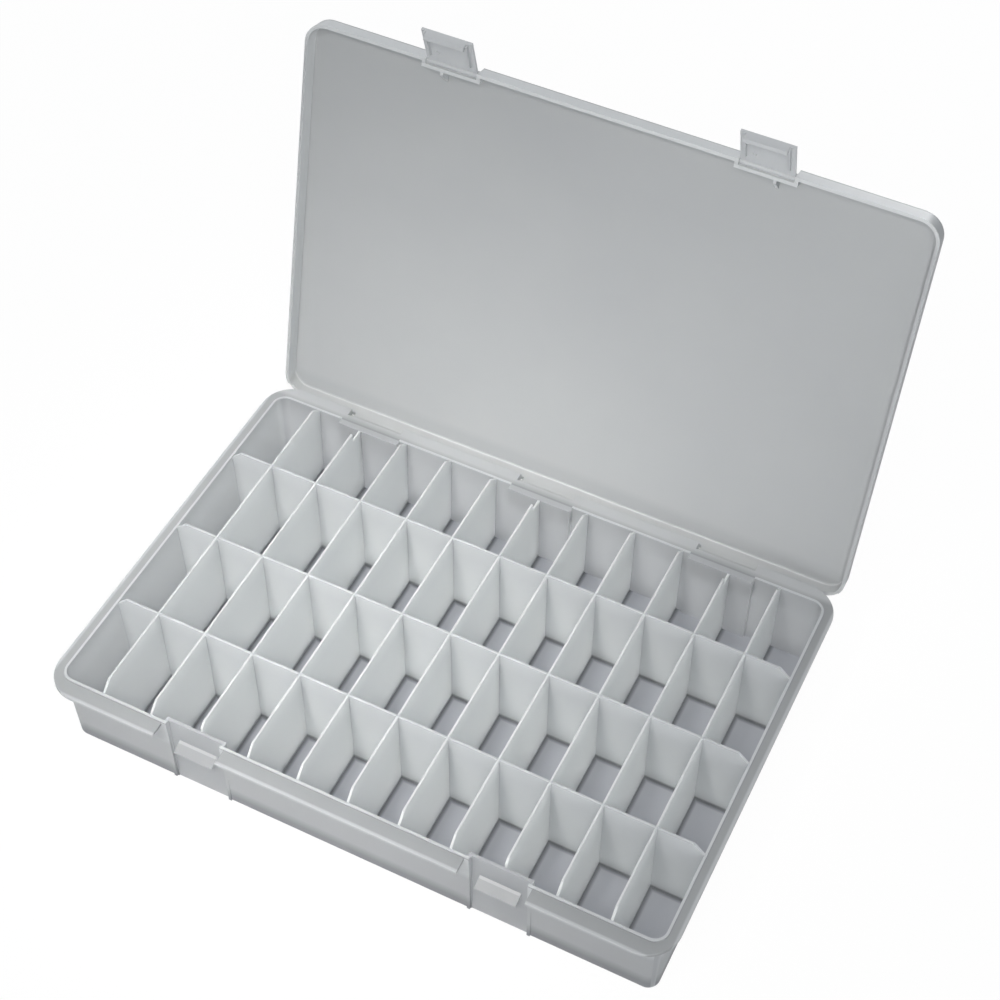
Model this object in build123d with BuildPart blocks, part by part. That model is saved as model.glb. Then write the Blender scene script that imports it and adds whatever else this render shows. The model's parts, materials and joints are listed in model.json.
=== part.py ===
from build123d import *
from math import copysign, cos, radians, sin
import os

os.makedirs("parts", exist_ok=True)

# Thread box: a tray of small cells, a shallow lid on three hinges and two fold-down latches.
# Millimetres. X runs along the hinge, Y points at the hinge, Z is up.
# The origin is the middle of the tray's flat underside. The lid stands open.

# Grid of cells
column_count = 12
row_count = 4
side_cell_length = 25.3
side_cell_width = 51.3

# Tray walls and floor
rim_height = 50.6
divider_rise = 6.0
floor_thickness = 2.0
wall_thickness = 1.6
wall_draft = 2.0
mouth_length = 330.6
mouth_width = 215.2
mouth_corner = 6.5
foot_edge_radius = 2.2
lip_height = 0.8
lip_thickness = 1.2

# Flange that carries the lid
flange_end_reach = 6.7
flange_side_reach = 9.9
flange_corner = 18.0
flange_thickness = 1.8
flange_edge_radius = 0.5

# Dividers, thinner towards their top edge
column_top = 1.2
column_foot = 1.7
row_top = 1.4
row_foot = 1.9
divider_end_slope = 45.0
divider_crest_radius = 0.35

# Lid
lid_end_margin = 1.6
lid_heel_reach = 1.2
lid_corner = 12.0
lid_headroom = 2.4
lid_panel = 1.8
lid_wall = 1.8
lid_draft = 1.0
lid_edge_radius = 1.6
lid_root_radius = 1.2
lid_seat_gap = 0.3
lid_heel_relief = 1.0
lid_heel_relief_reach = 5.4
lid_lean_back = 13.35

# Hinges
hinge_spacing = 107.0
hinge_inset = 3.6
hinge_drop = 5.9
hinge_recess_length = 34.0
hinge_recess_depth = 3.0
hinge_cheek = 2.0
hinge_pin_radius = 1.6
hinge_running_gap = 0.05
hinge_side_gap = 0.4
knuckle_radius = 3.3
knuckle_arm = 2.0
knuckle_inset = 0.2
knuckle_throat = 2.6
divider_hinge_cut = 11.6

# Latches
latch_spacing = 84.5
latch_offset = -2.5
latch_length = 28.0
latch_reach = 22.0
latch_plate = 1.4
latch_lean = 28.0
latch_barrel_radius = 1.4
latch_axis_inset = 1.5
latch_axis_rise = 1.8
latch_stub_radius = 0.8
latch_stub_length = 1.7
latch_running_gap = 0.05
latch_side_gap = 0.3
latch_wall_gap = 0.3
latch_cheek = 2.0
latch_hook_depth = 4.3
latch_hook_height = 2.2
latch_hook_inset = 3.0
latch_rib_depth = 2.0
latch_rib_thickness = 1.2
latch_rib_inset = 2.2
latch_rib_start = 5.0
latch_dimple_radius = 1.2
latch_dimple_depth = 0.7
latch_dimple_side = 6.6
latch_dimple_along = 9.0
latch_pocket_clearance = 1.5
latch_pocket_depth = 3.0
latch_notch_margin = 2.5
gusset_thickness = 1.6
gusset_offset = 5.0
gusset_foot = 9.0
gusset_head = 2.0
gusset_clearance = 0.4
catch_end_margin = 3.0
catch_projection = 6.0
catch_thickness = 2.0
catch_gap = 0.4

# Derived sizes
divider_height = rim_height + divider_rise
flange_length = mouth_length + 2 * flange_end_reach
flange_width = mouth_width + 2 * flange_side_reach
lid_length = flange_length - 2 * lid_end_margin
lid_depth = divider_rise + lid_headroom + lid_panel
column_pitch = (mouth_length - 2 * side_cell_length) / (column_count - 2)
row_pitch = (mouth_width - 2 * side_cell_width) / (row_count - 2)
outer_length = mouth_length + 2 * wall_thickness
outer_width = mouth_width + 2 * wall_thickness
outer_corner = mouth_corner + wall_thickness
cell_depth = rim_height - floor_thickness
hinge_y = flange_width / 2 - hinge_inset
hinge_z = rim_height - hinge_drop
hinge_centres = [-hinge_spacing, 0, hinge_spacing]
latch_centres = [latch_offset - latch_spacing, latch_offset + latch_spacing]
recess_face = outer_width / 2 - hinge_recess_depth
pocket_face = outer_width / 2 - latch_pocket_depth
recess_skin_length = hinge_recess_length + 2 * wall_thickness
recess_top = rim_height - flange_thickness
latch_pocket_length = latch_length + 2 * latch_pocket_clearance
latch_notch_length = latch_pocket_length + 2 * latch_notch_margin
pocket_skin_length = latch_pocket_length + 2 * wall_thickness

# Lid frame: x along the hinge, y from the hinge to the free edge, z towards the open side
lean = radians(lid_lean_back)
lid_plane = Plane(
    origin=(0, hinge_y, hinge_z),
    x_dir=(1, 0, 0),
    z_dir=(0, -cos(lean), sin(lean)),
)
lid_rim_level = -hinge_drop - lid_seat_gap
lid_panel_level = -hinge_drop - lid_depth
lid_front = flange_width - hinge_inset
lid_heel = -lid_heel_reach
lid_width = lid_front - lid_heel
lid_middle = (lid_heel + lid_front) / 2
knuckle_arm_start = lid_heel + knuckle_inset
hinge_notch_start = hinge_y - knuckle_arm_start - knuckle_arm - hinge_side_gap
latch_axis_y = lid_front - latch_axis_inset
latch_axis_z = lid_rim_level - latch_axis_rise
closed_latch_z = hinge_z - latch_axis_z
latch_tip = latch_axis_inset + latch_reach
latch_wall_face = latch_axis_y - latch_barrel_radius - latch_wall_gap


def profile_plane(x, along=0.0, across=0.0, turn=0.0):
    """Plane square to the hinge at x, whose own axes are the lid's y and z, turned in degrees."""
    spot = lid_plane.from_local_coords((x, along, across))
    heading = lid_plane.y_dir * cos(radians(turn)) + lid_plane.z_dir * sin(radians(turn))
    return Plane(origin=spot, x_dir=heading, z_dir=(1, 0, 0))


# Room that the dividers may fill: the cavity, and a sloped crown above the rim
with BuildPart() as divider_room:
    with BuildSketch(Plane.XY.offset(rim_height)) as mouth:
        RectangleRounded(mouth_length, mouth_width, mouth_corner)
    extrude(amount=-cell_depth, taper=wall_draft)
    extrude(mouth.sketch, amount=divider_height - rim_height, taper=divider_end_slope)
    with BuildSketch(Plane.XY.offset(floor_thickness)):
        for x in latch_centres:
            with Locations((x, -pocket_face)):
                Rectangle(pocket_skin_length, 2 * wall_thickness)
        for x in hinge_centres:
            with Locations((x, recess_face)):
                Rectangle(recess_skin_length, 2 * wall_thickness)
    extrude(amount=cell_depth, mode=Mode.SUBTRACT)
    with BuildSketch(Plane.XY.offset(rim_height)):
        for x in latch_centres:
            with Locations((x, -pocket_face + wall_thickness)):
                Rectangle(
                    pocket_skin_length,
                    outer_width / 2 - pocket_face,
                    align=(Align.CENTER, Align.MAX),
                )
        for x in hinge_centres:
            with Locations((x, mouth_width / 2 - divider_hinge_cut)):
                Rectangle(
                    recess_skin_length,
                    divider_hinge_cut,
                    align=(Align.CENTER, Align.MIN),
                )
    extrude(amount=divider_height - rim_height, mode=Mode.SUBTRACT)

# Outside of the tray body, drafted towards its foot
with BuildPart() as tray_body:
    with BuildSketch(Plane.XY.offset(rim_height)):
        RectangleRounded(outer_length, outer_width, outer_corner)
    extrude(amount=-rim_height, taper=wall_draft)
    fillet(tray_body.edges().group_by(Axis.Z)[0], foot_edge_radius)

# Tray shell: floor, walls, lip, latch pockets and hinge recesses
with BuildPart() as tray_shell:
    add(tray_body.part)
    with BuildSketch(Plane.XY.offset(rim_height)):
        RectangleRounded(
            mouth_length + 2 * lip_thickness,
            mouth_width + 2 * lip_thickness,
            mouth_corner + lip_thickness,
        )
    extrude(amount=lip_height)
    with BuildSketch(Plane.XY.offset(rim_height)) as mouth_cut:
        RectangleRounded(mouth_length, mouth_width, mouth_corner)
    extrude(amount=-cell_depth, taper=wall_draft, mode=Mode.SUBTRACT)
    extrude(mouth_cut.sketch, amount=lip_height, mode=Mode.SUBTRACT)
    # Inner skins of the pockets and recesses
    with BuildSketch(Plane.XY.offset(floor_thickness)):
        for x in latch_centres:
            with Locations((x, -pocket_face + wall_thickness)):
                Rectangle(
                    pocket_skin_length,
                    latch_pocket_depth + wall_thickness / 2,
                    align=(Align.CENTER, Align.MAX),
                )
        for x in hinge_centres:
            with Locations((x, recess_face - wall_thickness)):
                Rectangle(
                    recess_skin_length,
                    hinge_recess_depth + wall_thickness / 2,
                    align=(Align.CENTER, Align.MIN),
                )
    extrude(amount=cell_depth)
    # The pockets are open at the rim and at the foot, the recesses at the foot only
    with BuildSketch(Plane.XY):
        for x in latch_centres:
            with Locations((x, -pocket_face)):
                Rectangle(latch_pocket_length, flange_width, align=(Align.CENTER, Align.MAX))
    extrude(amount=rim_height + lip_height, mode=Mode.SUBTRACT)
    with BuildSketch(Plane.XY):
        for x in hinge_centres:
            with Locations((x, recess_face)):
                Rectangle(hinge_recess_length, flange_width, align=(Align.CENTER, Align.MIN))
    extrude(amount=recess_top, mode=Mode.SUBTRACT)
    # The lip stops at each recess
    with BuildSketch(Plane.XY.offset(rim_height)):
        for x in hinge_centres:
            with Locations((x, recess_face)):
                Rectangle(recess_skin_length, flange_width, align=(Align.CENTER, Align.MIN))
    extrude(amount=lip_height, mode=Mode.SUBTRACT)
    # Ledge in each latch pocket that the hook goes under
    catch_bottom = closed_latch_z - latch_tip + latch_hook_height + catch_gap
    for x in latch_centres:
        with BuildSketch(Plane.YZ.offset(x)):
            with BuildLine():
                Polyline(
                    (-pocket_face + wall_thickness / 2, catch_bottom),
                    (-pocket_face - catch_projection, catch_bottom),
                    (-pocket_face - catch_projection, catch_bottom + catch_thickness / 2),
                    (-pocket_face, catch_bottom + 2 * catch_thickness),
                    (-pocket_face + wall_thickness / 2, catch_bottom + 2 * catch_thickness),
                    close=True,
                )
            make_face()
        extrude(amount=latch_length / 2 - catch_end_margin, both=True)
tray_shell.part.label = "tray_shell"
export_step(tray_shell.part, "parts/tray_shell.step")

# Flange round the walls, with the cheeks that carry the hinge pins
with BuildPart() as tray_flange:
    with BuildSketch(Plane.XY.offset(rim_height - flange_thickness)):
        RectangleRounded(flange_length, flange_width, flange_corner)
    extrude(amount=flange_thickness)
    fillet(tray_flange.edges().group_by(Axis.Z)[-1], flange_edge_radius)
    cheek_edge = flange_width / 2 - flange_edge_radius
    for x in hinge_centres:
        for side in (-1, 1):
            cheek_middle = x + side * (hinge_recess_length + hinge_cheek) / 2
            with BuildSketch(Plane.YZ.offset(cheek_middle)):
                with BuildLine():
                    Polyline(
                        (recess_face, recess_top),
                        (cheek_edge, recess_top),
                        (cheek_edge, hinge_z),
                        (hinge_y, hinge_z - 2.2 * hinge_pin_radius),
                        (recess_face, hinge_z - 5 * hinge_pin_radius),
                        close=True,
                    )
                make_face()
            extrude(amount=hinge_cheek / 2, both=True)
    with BuildSketch(Plane.XY.offset(hinge_z - 6 * hinge_pin_radius)):
        for x in latch_centres:
            with Locations((x, -pocket_face)):
                Rectangle(latch_notch_length, flange_width, align=(Align.CENTER, Align.MAX))
        for x in hinge_centres:
            with Locations((x, hinge_notch_start)):
                Rectangle(hinge_recess_length, flange_width, align=(Align.CENTER, Align.MIN))
    extrude(amount=hinge_drop + 6 * hinge_pin_radius, mode=Mode.SUBTRACT)
    add(tray_body.part, mode=Mode.SUBTRACT)
tray_flange.part.label = "tray_flange"
export_step(tray_flange.part, "parts/tray_flange.step")

# Column dividers run from the front wall to the back wall
column_dividers = []
for index in range(1, column_count):
    plate_x = (index - column_count / 2) * column_pitch
    with BuildPart() as column_divider:
        with BuildSketch(Plane.XZ):
            with BuildLine():
                Polyline(
                    (plate_x - column_foot / 2, floor_thickness),
                    (plate_x + column_foot / 2, floor_thickness),
                    (plate_x + column_top / 2, divider_height),
                    (plate_x - column_top / 2, divider_height),
                    close=True,
                )
            make_face()
        extrude(amount=mouth_width / 2, both=True)
        crest = column_divider.edges().filter_by(Axis.Y).group_by(Axis.Z)[-1]
        fillet(crest, divider_crest_radius)
        add(divider_room.part, mode=Mode.INTERSECT)
    node_name = f"column_divider_{index:02d}"
    column_divider.part.label = node_name
    export_step(column_divider.part, f"parts/{node_name}.step")
    column_dividers.append(column_divider.part)

# Row dividers are cut where the column dividers cross them
for index in range(1, row_count):
    plate_y = (index - row_count / 2) * row_pitch
    with BuildPart() as row_divider:
        with BuildSketch(Plane.YZ):
            with BuildLine():
                Polyline(
                    (plate_y - row_foot / 2, floor_thickness),
                    (plate_y + row_foot / 2, floor_thickness),
                    (plate_y + row_top / 2, divider_height),
                    (plate_y - row_top / 2, divider_height),
                    close=True,
                )
            make_face()
        extrude(amount=mouth_length / 2, both=True)
        crest = row_divider.edges().filter_by(Axis.X).group_by(Axis.Z)[-1]
        fillet(crest, divider_crest_radius)
        add(divider_room.part, mode=Mode.INTERSECT)
        add(column_dividers, mode=Mode.SUBTRACT)
    node_name = f"row_divider_{index}"
    row_divider.part.label = node_name
    export_step(row_divider.part, f"parts/{node_name}.step")

# Hinge pins, moulded between the cheeks
with BuildPart() as hinge_pins:
    for x in hinge_centres:
        with BuildSketch(Plane.YZ.offset(x)):
            with Locations((hinge_y, hinge_z)):
                Circle(hinge_pin_radius)
        extrude(amount=hinge_recess_length / 2, both=True)
hinge_pins.part.label = "hinge_pins"
export_step(hinge_pins.part, "parts/hinge_pins.step")

# Lid: panel, drafted rim wall, latch gussets and hinge knuckles
with BuildPart() as lid:
    with BuildSketch(lid_plane.offset(lid_rim_level)):
        with Locations((0, lid_middle)):
            RectangleRounded(lid_length, lid_width, lid_corner)
    extrude(amount=lid_panel_level - lid_rim_level, taper=lid_draft)
    panel_face = lid.faces().sort_by(Axis((0, 0, 0), lid_plane.z_dir))[0]
    fillet(panel_face.edges(), lid_edge_radius)
    with BuildSketch(lid_plane.offset(lid_rim_level)):
        with Locations((0, lid_middle)):
            RectangleRounded(
                lid_length - 2 * lid_wall,
                lid_width - 2 * lid_wall,
                lid_corner - lid_wall,
            )
    extrude(
        amount=lid_panel_level - lid_rim_level + lid_panel,
        taper=lid_draft,
        mode=Mode.SUBTRACT,
    )
    floor_face = lid.faces().filter_by(lid_plane).sort_by(Axis((0, 0, 0), lid_plane.z_dir))[1]
    fillet(floor_face.edges(), lid_root_radius)
    # The wall is shorter near the hinge, so that it swings past the flange
    with BuildSketch(lid_plane.offset(lid_rim_level)):
        with Locations((0, lid_heel + lid_heel_relief_reach)):
            Rectangle(lid_length, 2 * lid_heel_relief_reach, align=(Align.CENTER, Align.MAX))
    extrude(amount=-lid_heel_relief, mode=Mode.SUBTRACT)
    # Housing of each latch: a set-back wall between two cheeks, and a rib behind it
    housing_depth = lid_front - latch_wall_face + lid_wall / 2
    housing_length = latch_length + 2 * latch_side_gap + 2 * latch_cheek
    housing_back = latch_wall_face - lid_wall
    housing_foot = lid_panel_level + lid_panel / 2
    for centre in latch_centres:
        with BuildSketch(lid_plane.offset(lid_rim_level)):
            with Locations((centre, housing_back)):
                Rectangle(housing_length, housing_depth, align=(Align.CENTER, Align.MIN))
        extrude(amount=housing_foot - lid_rim_level)
        gusset_x = centre + copysign(gusset_offset, centre)
        with BuildSketch(profile_plane(gusset_x)):
            with BuildLine():
                Polyline(
                    (housing_back + lid_wall / 2, lid_rim_level - gusset_clearance),
                    (housing_back - gusset_head, lid_rim_level - gusset_clearance),
                    (housing_back - gusset_foot, housing_foot),
                    (housing_back + lid_wall / 2, housing_foot),
                    close=True,
                )
            make_face()
        extrude(amount=gusset_thickness / 2, both=True)
    # The recess itself, open at the front, the rim and the panel, and the stub holes
    for centre in latch_centres:
        with BuildSketch(lid_plane.offset(lid_rim_level)):
            with Locations((centre, latch_wall_face)):
                Rectangle(
                    latch_length + 2 * latch_side_gap,
                    3 * lid_wall,
                    align=(Align.CENTER, Align.MIN),
                )
        extrude(amount=lid_panel_level - lid_rim_level - lid_panel, mode=Mode.SUBTRACT)
        with BuildSketch(profile_plane(centre, latch_axis_y, latch_axis_z)):
            Circle(latch_stub_radius + latch_running_gap)
        extrude(
            amount=latch_length / 2 + latch_side_gap + latch_cheek,
            both=True,
            mode=Mode.SUBTRACT,
        )
    # Open knuckles that snap over the hinge pins
    for centre in hinge_centres:
        with BuildSketch(profile_plane(centre)):
            Circle(knuckle_radius)
            with Locations((knuckle_arm_start, 0)):
                Rectangle(
                    knuckle_arm,
                    -lid_rim_level + lid_heel_relief + lid_wall,
                    align=(Align.MIN, Align.MAX),
                )
            Circle(hinge_pin_radius + hinge_running_gap, mode=Mode.SUBTRACT)
            Rectangle(
                knuckle_throat,
                1.1 * knuckle_radius,
                align=(Align.CENTER, Align.MIN),
                mode=Mode.SUBTRACT,
            )
        extrude(amount=hinge_recess_length / 2 - hinge_side_gap, both=True)
lid.part.label = "lid"
export_step(lid.part, "parts/lid.step")

# Latches: barrel with end stubs, plate, hook, two ribs and the mark of an ejector pin
plate_face = latch_plate - latch_barrel_radius
plate_middle = plate_face - latch_plate / 2
hook_start = latch_tip - latch_hook_height
hook_top = plate_face + latch_hook_depth
rib_top = plate_face + latch_rib_depth
rib_middle = (latch_length - latch_rib_thickness) / 2 - latch_rib_inset
for name, centre in zip(("latch_left", "latch_right"), latch_centres):
    latch_plane = profile_plane(centre, latch_axis_y, latch_axis_z, latch_lean)
    with BuildPart() as latch:
        with BuildSketch(latch_plane):
            Circle(latch_barrel_radius)
            with Locations((0, plate_face)):
                Rectangle(latch_tip, latch_plate, align=(Align.MIN, Align.MAX))
        extrude(amount=latch_length / 2, both=True)
        with BuildSketch(latch_plane):
            with BuildLine():
                Polyline(
                    (hook_start, plate_middle),
                    (latch_tip, plate_middle),
                    (latch_tip, hook_top - 0.9),
                    (hook_start + 0.6, hook_top),
                    (hook_start, hook_top),
                    close=True,
                )
            make_face()
        extrude(amount=latch_length / 2 - latch_hook_inset, both=True)
        for side in (-1, 1):
            with BuildSketch(latch_plane.offset(side * rib_middle)):
                with BuildLine():
                    Polyline(
                        (latch_rib_start, plate_middle),
                        (latch_rib_start + latch_rib_depth, rib_top),
                        (latch_tip - latch_hook_height / 2, rib_top),
                        (latch_tip - latch_hook_height / 2, plate_middle),
                        close=True,
                    )
                make_face()
            extrude(amount=latch_rib_thickness / 2, both=True)
        dimple_spot = latch_plane.from_local_coords(
            (latch_dimple_along, plate_face, -latch_dimple_side)
        )
        with BuildSketch(Plane(origin=dimple_spot, x_dir=(1, 0, 0), z_dir=latch_plane.y_dir)):
            Circle(latch_dimple_radius)
        extrude(amount=-latch_dimple_depth, mode=Mode.SUBTRACT)
        with BuildSketch(latch_plane):
            Circle(latch_stub_radius)
        extrude(amount=latch_length / 2 + latch_stub_length, both=True)
    latch.part.label = name
    export_step(latch.part, f"parts/{name}.step")
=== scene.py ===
import json
from math import cos, radians, sin

import bmesh
import bpy
from mathutils import Matrix, Vector


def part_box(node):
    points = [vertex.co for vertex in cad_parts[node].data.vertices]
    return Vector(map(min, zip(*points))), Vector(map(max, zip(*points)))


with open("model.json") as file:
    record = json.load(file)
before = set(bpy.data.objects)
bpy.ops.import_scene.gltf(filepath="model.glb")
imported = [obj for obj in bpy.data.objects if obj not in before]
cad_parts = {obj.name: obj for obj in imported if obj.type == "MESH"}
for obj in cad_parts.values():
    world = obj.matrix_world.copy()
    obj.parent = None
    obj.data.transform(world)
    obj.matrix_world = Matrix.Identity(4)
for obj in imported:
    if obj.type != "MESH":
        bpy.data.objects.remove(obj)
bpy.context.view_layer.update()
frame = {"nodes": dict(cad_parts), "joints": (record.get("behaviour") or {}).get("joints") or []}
mm = 0.001


def hexToLinear(hexCode):
    parts = [int(hexCode[i:i + 2], 16) / 255 for i in (1, 3, 5)]
    linear = [c / 12.92 if c <= 0.04045 else ((c + 0.055) / 1.055) ** 2.4 for c in parts]
    return (*linear, 1.0)


def addNode(tree, kind, inputs=None, **settings):
    node = tree.nodes.new("ShaderNode" + kind)
    for name, value in settings.items():
        setattr(node, name, value)
    for name, value in (inputs or {}).items():
        if isinstance(value, bpy.types.Node):  # a whole node gives its first live output
            value = next(socket for socket in value.outputs if not socket.is_unavailable)
        if isinstance(value, bpy.types.NodeSocket):
            tree.links.new(value, node.inputs[name])
        else:
            node.inputs[name].default_value = value
    return node


def newMaterial(name):
    material = bpy.data.materials.new(name)
    material.use_nodes = True
    material.node_tree.nodes.clear()
    return material, material.node_tree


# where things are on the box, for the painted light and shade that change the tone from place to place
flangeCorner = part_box("tray_flange")[1]
firstColumn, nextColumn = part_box("column_divider_01"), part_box("column_divider_02")
firstRow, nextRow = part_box("row_divider_1"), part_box("row_divider_2")
lidHinge = next(joint for joint in frame["joints"] if joint["name"] == "lid_hinge")
box = {
    "flangeHalf": (flangeCorner.x, flangeCorner.y),
    "rimHeight": flangeCorner.z,
    "mouthHalf": (firstRow[1].x + 0.4 * mm, firstColumn[1].y + 0.5 * mm),  # just past the dividers' ends
    "draft": 0.035,               # how far the cavity's walls lean, as a slope
    "floorTop": firstRow[0].z + 0.2 * mm,
    "cell": (nextColumn[0].x - firstColumn[0].x, nextRow[0].y - firstRow[0].y),
    "hinge": lidHinge["pos_m"][1:],
    "lidLean": radians(lidHinge["range_deg"][1] - 90),  # how far the open lid leans back
    "lidPanel": -14.0 * mm,       # how far ahead of the hinge line the lid's panel and wall meet
    "lidInside": -13.6 * mm,
    "lidEnd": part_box("lid")[1].x - 3.2 * mm,
}


# each of these marks one place on the box with 1 and the rest with 0, soft at the border
def heightBand(tree, place, zone):
    return addNode(tree, "MapRange", {
        "Value": place["Z"], "From Min": zone["from"] * mm, "From Max": zone["to"] * mm})


def rearEdge(tree, place, zone):
    return addNode(tree, "MapRange", {
        "Value": place["Y"], "From Min": zone["from"] * mm, "From Max": zone["to"] * mm})


def flangeLip(tree, place, zone):
    reaches = []
    for axis, half in zip("XY", box["flangeHalf"]):
        out = addNode(tree, "Math", {0: place[axis]}, operation="ABSOLUTE")
        reaches.append(addNode(tree, "Math", {0: out, 1: half}, operation="SUBTRACT"))
    nearest = addNode(tree, "Math", {0: reaches[0], 1: reaches[1]}, operation="MAXIMUM")
    return addNode(tree, "MapRange", {
        "Value": nearest, "From Min": zone["from"] * mm, "From Max": zone["to"] * mm})


def aheadOfLid(tree, place):
    # how far a spot stands in front of the hinge line, square to the leaning lid
    back = addNode(tree, "Math", {0: place["Y"], 1: box["hinge"][0]}, operation="SUBTRACT")
    rise = addNode(tree, "Math", {0: place["Z"], 1: box["hinge"][1]}, operation="SUBTRACT")
    across = addNode(tree, "Math", {0: back, 1: -cos(box["lidLean"])}, operation="MULTIPLY")
    upward = addNode(tree, "Math", {0: rise, 1: sin(box["lidLean"])}, operation="MULTIPLY")
    return addNode(tree, "Math", {0: across, 1: upward}, operation="ADD")


def lidWall(tree, place, zone):
    return addNode(tree, "MapRange", {
        "Value": aheadOfLid(tree, place),
        "From Min": zone["from"] * mm, "From Max": zone["to"] * mm})


def lidWallBand(tree, place, zone):
    band = heightBand(tree, place, zone)
    ahead = addNode(tree, "Math", {
        0: aheadOfLid(tree, place), 1: box["lidPanel"]}, operation="GREATER_THAN")
    return addNode(tree, "Math", {0: band, 1: ahead}, operation="MULTIPLY")


def facing(tree, axis):
    normal = addNode(tree, "NewGeometry").outputs["Normal"]
    part = addNode(tree, "SeparateXYZ", {"Vector": normal}).outputs[axis]
    return addNode(tree, "Math", {0: part}, operation="ABSOLUTE")


def lidEndEdges(tree, place, zone):
    # the narrow edge takes the whole painted shade, and the end wall beside it a fifth
    out = addNode(tree, "Math", {0: place["X"]}, operation="ABSOLUTE")
    atEnd = addNode(tree, "Math", {0: out, 1: box["lidEnd"]}, operation="GREATER_THAN")
    ahead = addNode(tree, "Math", {
        0: aheadOfLid(tree, place), 1: box["lidInside"]}, operation="GREATER_THAN")
    endWall = addNode(tree, "Math", {0: atEnd, 1: ahead}, operation="MULTIPLY")
    edge = addNode(tree, "MapRange", {
        "Value": facing(tree, "X"), "From Min": zone["from"], "From Max": zone["to"],
        "To Min": 1.0, "To Max": zone["wallShare"]})
    return addNode(tree, "Math", {0: endWall, 1: edge}, operation="MULTIPLY")


def outerEnds(tree, place, zone):
    normal = addNode(tree, "NewGeometry").outputs["Normal"]
    sideways = addNode(tree, "SeparateXYZ", {"Vector": normal}).outputs["X"]
    hand = addNode(tree, "Math", {0: place["X"]}, operation="SIGN")
    outward = addNode(tree, "Math", {0: sideways, 1: hand}, operation="MULTIPLY")
    return addNode(tree, "MapRange", {
        "Value": outward, "From Min": zone["from"], "From Max": zone["to"]})


def levelFaces(tree, place, zone):
    return addNode(tree, "MapRange", {
        "Value": facing(tree, "Z"), "From Min": zone["from"], "From Max": zone["to"]})


def cavity(tree, place, zone):
    # the cavity's walls lean outwards by the mould's draft, so its border leans with them
    below = addNode(tree, "Math", {0: box["rimHeight"], 1: place["Z"]}, operation="SUBTRACT")
    lean = addNode(tree, "Math", {0: below, 1: box["draft"]}, operation="MULTIPLY")
    within = []
    for axis, half in zip("XY", box["mouthHalf"]):
        out = addNode(tree, "Math", {0: place[axis]}, operation="ABSOLUTE")
        reach = addNode(tree, "Math", {0: out, 1: lean}, operation="ADD")
        within.append(addNode(tree, "Math", {0: reach, 1: half}, operation="LESS_THAN"))
    return addNode(tree, "Math", {0: within[0], 1: within[1]}, operation="MULTIPLY")


def cavityEnds(tree, place, zone):
    endFacing = addNode(tree, "MapRange", {
        "Value": facing(tree, "X"), "From Min": zone["from"], "From Max": zone["to"]})
    return addNode(tree, "Math", {0: cavity(tree, place, zone), 1: endFacing}, operation="MULTIPLY")


def cellFloors(tree, place, zone):
    low = addNode(tree, "Math", {0: place["Z"], 1: box["floorTop"]}, operation="LESS_THAN")
    inside = addNode(tree, "Math", {0: cavity(tree, place, zone), 1: low}, operation="MULTIPLY")
    return addNode(tree, "Math", {0: inside, 1: levelFaces(tree, place, zone)}, operation="MULTIPLY")


def dividerFeet(tree, place, zone):
    gaps = []
    for axis, pitch in zip("XY", box["cell"]):
        out = addNode(tree, "Math", {0: place[axis]}, operation="ABSOLUTE")
        gaps.append(addNode(tree, "Math", {0: out, 1: pitch / 2}, operation="PINGPONG"))
    gap = addNode(tree, "Math", {0: gaps[0], 1: gaps[1]}, operation="MINIMUM")
    beside = addNode(tree, "MapRange", {
        "Value": gap, "From Min": zone["reach"] * mm, "From Max": zone["foot"] * mm})
    return addNode(tree, "Math", {0: cellFloors(tree, place, zone), 1: beside}, operation="MULTIPLY")


# unpigmented polypropylene, injection moulded: milky and a little see-through, with a satin
# skin; the zones below paint light and shade into its tone: whiter where light falls, greyer where it
# can't
plastic = {
    "ior": 1.49,
    "roughness": 0.38,
    "clear": 0.1,                 # share of light that goes straight through
    "cloudSize": 60 * mm,         # faint clouds from the melt's flow
    "cloudDetail": 3.0,
    "cloudRoughness": 0.55,
    "scuffSize": 12 * mm,         # rubbed patches that change the gloss a little
    "scuffDetail": 8.0,
    "scuffRoughness": 0.7,
    "scuffSpan": (0.35, 0.65),
    "scuffGloss": (-0.05, 0.07),
    "grainSize": 0.6 * mm,        # the mould's grain is finer, and is drawn this coarse so it shows
    "grainDetail": 2.0,
    "grainHeight": 0.05 * mm,
    "grainStrength": 0.15,
}


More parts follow.
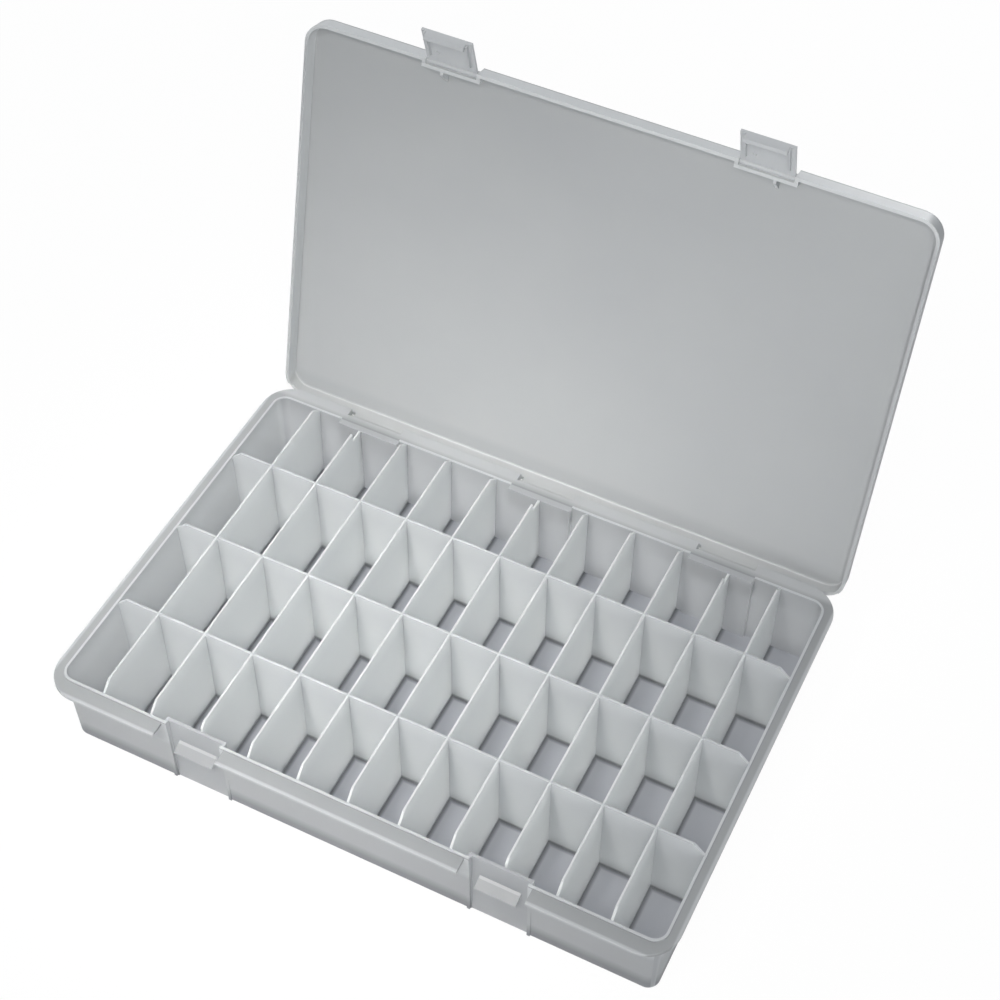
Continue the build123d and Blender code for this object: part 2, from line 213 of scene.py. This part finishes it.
def naturalPolypropylene(name, piece):
    material, tree = newMaterial(name)
    spot = addNode(tree, "TexCoord").outputs["Object"]
    place = addNode(tree, "SeparateXYZ", {"Vector": spot}).outputs
    clouds = addNode(tree, "TexNoise", {
        "Vector": spot, "Scale": 1 / plastic["cloudSize"], "Detail": plastic["cloudDetail"],
        "Roughness": plastic["cloudRoughness"]}).outputs["Fac"]
    tone = addNode(tree, "Mix", {
        0: clouds, 6: hexToLinear(piece["dark"]), 7: hexToLinear(piece["light"])}, data_type="RGBA")
    for zone in piece["zones"]:
        share = zone["where"](tree, place, zone)
        tone = addNode(tree, "Mix", {
            0: share, 6: tone, 7: hexToLinear(zone["hex"])}, data_type="RGBA")
    scuff = addNode(tree, "TexNoise", {
        "Vector": spot, "Scale": 1 / plastic["scuffSize"], "Detail": plastic["scuffDetail"],
        "Roughness": plastic["scuffRoughness"]}).outputs["Fac"]
    gloss = addNode(tree, "MapRange", {
        "Value": scuff, "From Min": plastic["scuffSpan"][0], "From Max": plastic["scuffSpan"][1],
        "To Min": plastic["roughness"] + plastic["scuffGloss"][0],
        "To Max": plastic["roughness"] + plastic["scuffGloss"][1]})
    grain = addNode(tree, "TexNoise", {
        "Vector": spot, "Scale": 1 / plastic["grainSize"],
        "Detail": plastic["grainDetail"]}).outputs["Fac"]
    bump = addNode(tree, "Bump", {
        "Height": grain, "Strength": plastic["grainStrength"], "Distance": plastic["grainHeight"]})
    skin = addNode(tree, "BsdfPrincipled", {
        "Base Color": tone, "Roughness": gloss, "IOR": plastic["ior"], "Normal": bump})
    milk = addNode(tree, "BsdfTranslucent", {"Color": tone})
    clear = addNode(tree, "BsdfTransparent")
    lit = addNode(tree, "MixShader", {0: piece["milk"], 1: skin, 2: milk})
    body = addNode(tree, "MixShader", {0: plastic["clear"], 1: lit, 2: clear})
    addNode(tree, "OutputMaterial", {"Surface": body})
    return material


# a zone's tone starts at "from" and is full at "to": heights and distances are in mm, and for
# ends and level faces it is how squarely a face looks that way, from 0 to 1

# the column ribs: nearly white, a lighter copy of the same plastic as the row ribs, as painted light,
# with painted tones on walls, crests and feet
columnDividers = {
    "light": "#EDEFEF", "dark": "#E6E8E9", "milk": 0.6,
    "zones": [
        # painted light: the walls grow lighter downwards, to offset the shade deep in the cells
        {"where": heightBand, "from": 45, "to": 10, "hex": "#FBFCFC"},
        # painted shade: grey feet where the ribs meet the floor
        {"where": heightBand, "from": 4.5, "to": 2.5, "hex": "#B4B7BA"},
        # painted shade: a slightly greyer crest that tones down the lit top edge
        {"where": heightBand, "from": 55.7, "to": 56.1, "hex": "#DEE0E1"}],
}

# a greyer copy of the same plastic than the ribs that cross them, as painted shade
rowDividers = {
    "light": "#DEE0E2", "dark": "#D7D9DB", "milk": 0.6,
    "zones": [
        # painted light: the walls grow lighter downwards, to offset the shade deep in the cells
        {"where": heightBand, "from": 45, "to": 10, "hex": "#EEF0F1"},
        # painted shade: grey feet where the ribs meet the floor
        {"where": heightBand, "from": 4.5, "to": 2.5, "hex": "#A9ACAF"},
        # painted shade: a slightly greyer crest that tones down the lit top edge
        {"where": heightBand, "from": 55.7, "to": 56.1, "hex": "#CDCFD1"}],
}

# the thickest wall: grey milk, with painted light and shade: paler towards the rim and on the cavity's
# end walls, darker low down, on level faces, inside the cavity and on the cell floors, darkest in the
# creases of the cells, and a painted highlight on the lip
trayShell = {
    "light": "#C7C9CB", "dark": "#C0C2C4", "milk": 0.5,
    "zones": [
        # painted light: paler towards the rim
        {"where": heightBand, "from": 31, "to": 36, "hex": "#DADCDE"},
        # painted shade: darker low down, where less light reaches
        {"where": heightBand, "from": 14, "to": 6, "hex": "#9B9DA1"},
        # painted shade: level faces greyer
        {"where": levelFaces, "from": 0.2, "to": 0.8, "hex": "#A6A8AB"},
        # painted shade: a little greyer inside the cavity
        {"where": cavity, "hex": "#BDBFC2"},
        # painted light: the cavity's end walls paler
        {"where": cavityEnds, "from": 0.7, "to": 1.0, "hex": "#E0E2E3"},
        # painted shade: the cell floors darker, for the shade at the bottom of the cells
        {"where": cellFloors, "from": 0.2, "to": 0.8, "hex": "#ACAFB6"},
        # painted shade: dark strips in the creases beside the dividers' feet
        {"where": dividerFeet, "from": 0.2, "to": 0.8, "reach": 3.4, "foot": 1.6, "hex": "#74777D"},
        # painted highlight: a paler line on the lip's top
        {"where": heightBand, "from": 50.8, "to": 51.0, "hex": "#D4D6D8"}],
}

# the flange lies over the wall, so it is grey; its paler outer lip and rear band are painted highlights,
# and its lower part is painted darker as shade
trayFlange = {
    "light": "#B2B4B6", "dark": "#AAACAE", "milk": 0.5,
    "zones": [
        # painted highlight: a paler band along the outer edge
        {"where": flangeLip, "from": -2.0, "to": -1.2, "hex": "#C9CBCD"},
        # painted light: a paler band along the rear edge
        {"where": rearEdge, "from": 109, "to": 112, "hex": "#C9CBCD"},
        # painted shade: darker below the flange's top
        {"where": heightBand, "from": 48, "to": 45, "hex": "#9FA1A5"}],
}

# a broad even grey panel, soft as fogged glass, inside a wall that is seen edge on; the wall's whiter
# tone is painted light, and the other zones paint shade on the lid's foot, wall, edges and ends
lidMoulding = {
    "light": "#B8BABB", "dark": "#B1B3B5", "milk": 0.25,
    "zones": [
        # painted shade: a soft darker band along the lid's foot by the hinge
        {"where": heightBand, "from": 54, "to": 49, "hex": "#AEB0B2"},
        # painted light: the wall ahead of the panel whiter
        {"where": lidWall, "from": -13.8, "to": -13.4, "hex": "#E8EAEB"},
        # painted shade: greyer end edges, and a fifth of that on the end walls
        {"where": lidEndEdges, "from": 0.3, "to": 0.9, "wallShare": 0.2, "hex": "#BEC0C2"},
        # painted shade: the wall greyer near the hinge
        {"where": lidWallBand, "from": 52, "to": 48, "hex": "#C3C5C6"},
        # painted shade: the wall toned down near the lid's free edge
        {"where": lidWallBand, "from": 252, "to": 262, "hex": "#D8DADB"},
        # painted shade: the outward faces at the ends greyer, like the panel
        {"where": outerEnds, "from": 0.3, "to": 0.8, "hex": "#B2B4B6"}],
}

# small thick tabs, painted paler than the lid as painted light, because light reaches them all round
latches = {"light": "#CDCFD1", "dark": "#C6C8CA", "milk": 0.25, "zones": []}

dressing = {
    "column_divider": naturalPolypropylene("natural polypropylene, thin moulded ribs", columnDividers),
    "row_divider": naturalPolypropylene("natural polypropylene, moulded ribs greyed as painted shade", rowDividers),
    "tray_shell": naturalPolypropylene("natural polypropylene, moulded tray", trayShell),
    "tray_flange": naturalPolypropylene("natural polypropylene, moulded rim", trayFlange),
    "lid": naturalPolypropylene("natural polypropylene, moulded lid", lidMoulding),
    "latch": naturalPolypropylene("natural polypropylene, moulded latch", latches),
}
dressing["hinge_pins"] = dressing["tray_flange"]

for nodeName, piece in frame["nodes"].items():
    kind = next(nameStart for nameStart in dressing if nodeName.startswith(nameStart))
    piece.data.materials.clear()
    piece.data.materials.append(dressing[kind])
print("plastic: done")


studio = {
    "floorSize": 6.0,
    "floorHex": "#F4F4F4",
    "floorGlow": 0.97,            # how white the camera sees the floor; the rest is lit and shaded
    "ambient": 0.28,
    "ambientHex": "#D8E4F4",
    "backdropHex": "#FFFFFF",
    "lamps": {
        "keySoftbox": {"place": (-0.15, -0.5, 0.85), "aim": (-0.065, 0, 0.04), "size": 0.3,
                       "spread": 25, "power": 0.55, "hex": "#FFFDF8"},
        "sideSoftbox": {"place": (0.3, -0.6, 1.0), "aim": (0, 0, 0.05), "size": 0.4,
                        "spread": 180, "power": 7.1, "hex": "#FFFDF8"},
        "lidSpot": {"place": (0.45, -1.0, 0.35), "aim": (0.16, 0.14, 0.21), "size": 0.3,
                    "spread": 30, "power": 0.15, "hex": "#FFFFFF"},
        "backSoftbox": {"place": (-0.8, 0.6, 0.9), "aim": (0, 0, 0.05), "size": 0.8,
                        "spread": 180, "power": 3.9, "hex": "#FFFFFF"},
        "rearFill": {"place": (0.1, 1.3, 0.24), "aim": (0, 0.16, 0.13), "size": 0.4,
                     "spread": 60, "power": 0.95, "hex": "#FFFFFF"},
    },
}


def seenDirectly(tree):
    rays = addNode(tree, "LightPath").outputs
    mirrored = addNode(tree, "Math", {
        0: rays["Is Camera Ray"], 1: rays["Is Glossy Ray"]}, operation="MAXIMUM")
    return addNode(tree, "Math", {0: mirrored, 1: rays["Is Transmission Ray"]}, operation="MAXIMUM")


def layFloor():
    # matt white paper: an even pale ground that shows a soft shadow and no reflection
    mesh = bpy.data.meshes.new("floor")
    sheet = bmesh.new()
    bmesh.ops.create_grid(sheet, x_segments=1, y_segments=1, size=studio["floorSize"] / 2)
    sheet.to_mesh(mesh)
    sheet.free()
    floor = bpy.data.objects.new("floor", mesh)
    bpy.context.scene.collection.objects.link(floor)
    paper, tree = newMaterial("matt white paper")
    share = addNode(tree, "Math", {
        0: seenDirectly(tree), 1: studio["floorGlow"]}, operation="MULTIPLY")
    matt = addNode(tree, "BsdfDiffuse", {"Color": hexToLinear(studio["floorHex"])})
    glow = addNode(tree, "Emission", {
        "Color": hexToLinear(studio["backdropHex"]), "Strength": 1.0})
    mix = addNode(tree, "MixShader", {0: share, 1: matt, 2: glow})
    addNode(tree, "OutputMaterial", {"Surface": mix})
    mesh.materials.append(paper)
    print("floor: done")


def hangSky():
    # white where the camera looks past the box, and a faint cool light on the box itself
    world = bpy.data.worlds.new("studio")
    bpy.context.scene.world = world
    world.use_nodes = True
    tree = world.node_tree
    tree.nodes.clear()
    direct = seenDirectly(tree)
    tone = addNode(tree, "Mix", {
        0: direct, 6: hexToLinear(studio["ambientHex"]), 7: hexToLinear(studio["backdropHex"])},
        data_type="RGBA")
    strength = addNode(tree, "MapRange", {
        "Value": direct, "To Min": studio["ambient"], "To Max": 1.0})
    back = addNode(tree, "Background", {"Color": tone, "Strength": strength})
    addNode(tree, "OutputWorld", {"Surface": back})
    print("sky: done")


def placeLamps():
    for lampName, lamp in studio["lamps"].items():
        light = bpy.data.lights.new(lampName, "AREA")
        light.shape = "SQUARE"
        light.size = lamp["size"]
        light.spread = radians(lamp["spread"])
        light.energy = lamp["power"]
        light.color = hexToLinear(lamp["hex"])[:3]
        lampObject = bpy.data.objects.new(lampName, light)
        lampObject.location = lamp["place"]
        aim = Vector(lamp["aim"]) - Vector(lamp["place"])
        lampObject.rotation_euler = aim.to_track_quat("-Z", "Y").to_euler()
        bpy.context.scene.collection.objects.link(lampObject)
    print("lamps: done")


layFloor()
hangSky()
placeLamps()


view = {
    "azimuth": radians(24.92),
    "elevation": radians(48.08),
    "roll": radians(1.48),
    "place": (0.2864, -0.5297, 0.8901),
    "sensor": 36,
    "lens": 71.73,
    "shift": (-0.02695, -0.07864),
}


def setCamera():
    turn, lift, tilt = view["azimuth"], view["elevation"], view["roll"]
    ahead = Vector((-sin(turn) * cos(lift), cos(turn) * cos(lift), -sin(lift)))
    level = Vector((cos(turn), sin(turn), 0))
    upright = level.cross(ahead)
    side = cos(tilt) * level + sin(tilt) * upright
    top = -sin(tilt) * level + cos(tilt) * upright
    cameraData = bpy.data.cameras.new("camera")
    cameraData.sensor_width = view["sensor"]
    cameraData.lens = view["lens"]
    cameraData.shift_x, cameraData.shift_y = view["shift"]
    camera = bpy.data.objects.new("camera", cameraData)
    stance = Matrix((side, top, -ahead)).transposed().to_4x4()
    camera.matrix_world = Matrix.Translation(view["place"]) @ stance
    bpy.context.scene.collection.objects.link(camera)
    bpy.context.scene.camera = camera
    bpy.context.scene.view_settings.view_transform = "Standard"
    print("camera: done")


setCamera()
